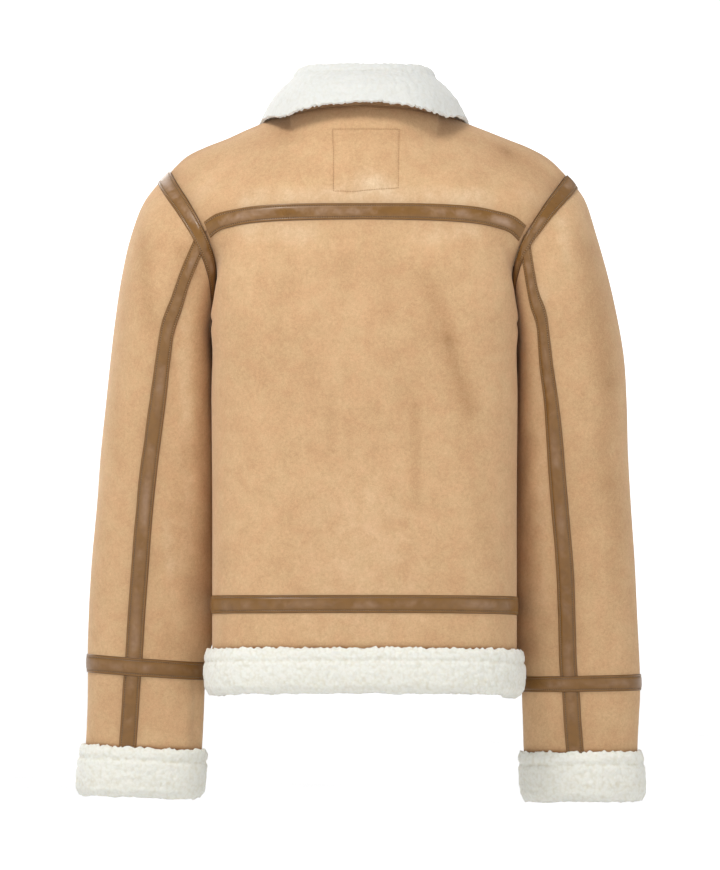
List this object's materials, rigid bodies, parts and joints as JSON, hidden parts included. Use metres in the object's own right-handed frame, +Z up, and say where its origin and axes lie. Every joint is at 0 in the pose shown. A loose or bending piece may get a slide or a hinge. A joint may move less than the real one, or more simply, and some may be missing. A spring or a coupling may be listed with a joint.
{
  "type": "aviator jacket",
  "caption": "Faux-suede aviator jacket with leather-look seam tapes and sherpa collar, hem and cuffs, worn form with nobody in it.",
  "frame": {"origin": "midway between the two points where the shoulder seams meet the neck seam, level with them", "axes": "+Z up towards the collar, +Y out of the back, +X towards the wearer's left"},
  "size_m": [0.5948, 0.2553, 0.7672],
  "materials": {
    "suede": "matt nap, tan",
    "leather": "semi-gloss, dark brown",
    "sherpa": "curly pile, off-white",
    "zip_cloth": "woven tape, dark brown",
    "brass": "aged"
  },
  "bodies": {
    "garment": {"back_panel": "suede", "back_yoke": "suede", "collar_fur": "sherpa", "collar_suede": "suede", "cuff_fur_left": "sherpa", "cuff_fur_right": "sherpa", "front_left": "suede", "front_right": "suede", "hem_fur": "sherpa", "sleeve_top_left": "suede", "sleeve_top_right": "suede", "sleeve_under_left": "suede", "sleeve_under_right": "suede", "tape_armhole_left": "leather", "tape_armhole_right": "leather", "tape_forearm_left": "leather", "tape_forearm_right": "leather", "tape_hem": "leather", "tape_sleeve_left": "leather", "tape_sleeve_right": "leather", "tape_yoke": "leather", "zip_chain": "brass", "zip_slider": "brass", "zip_tape_left": "zip_cloth", "zip_tape_right": "zip_cloth"},
    "zip_pull": {"zip_pull": "brass"}
  },
  "joints": [
    {"name": "zip_pull_swing", "type": "hinge", "parent": "garment", "child": "zip_pull", "pos_m": [0, -0.10549, -0.09598], "axis": [-1, 0, 0], "range_deg": [0, 120]}
  ]
}
